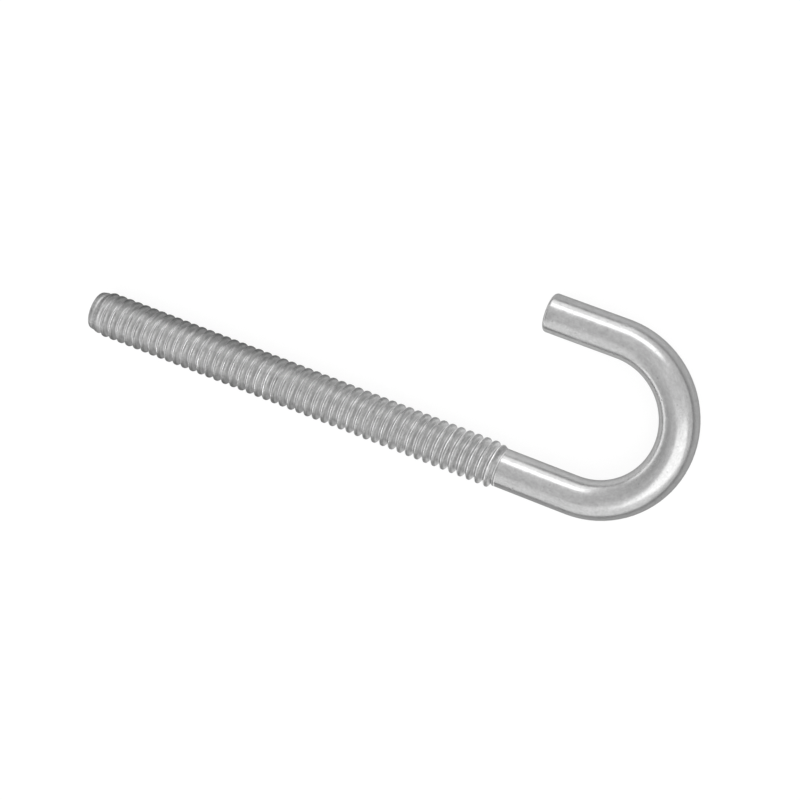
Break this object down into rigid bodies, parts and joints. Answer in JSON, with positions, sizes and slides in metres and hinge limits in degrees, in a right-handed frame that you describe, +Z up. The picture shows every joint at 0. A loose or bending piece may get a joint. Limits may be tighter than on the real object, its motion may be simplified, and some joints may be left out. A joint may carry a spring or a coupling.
{
  "type": "hook bolt",
  "caption": "Steel hook bolt: a straight rod with a long machine thread and bevelled tip, bent at its other end into a round U-shaped hook with a short straight leg.",
  "frame": {"origin": "middle of the part's outside box, on the ground that it lies on", "axes": "+X along the thread, from the tip towards the hook; +Y from the shank towards the leg; +Z up as it lies"},
  "size_m": [0.0856, 0.0274, 0.0062],
  "materials": {
    "zinc_plated_steel": "bright zinc plating, satin, with faint rolling and drawing marks"
  },
  "bodies": {
    "root": {"hook_bolt": "zinc_plated_steel"}
  },
  "joints": []
}
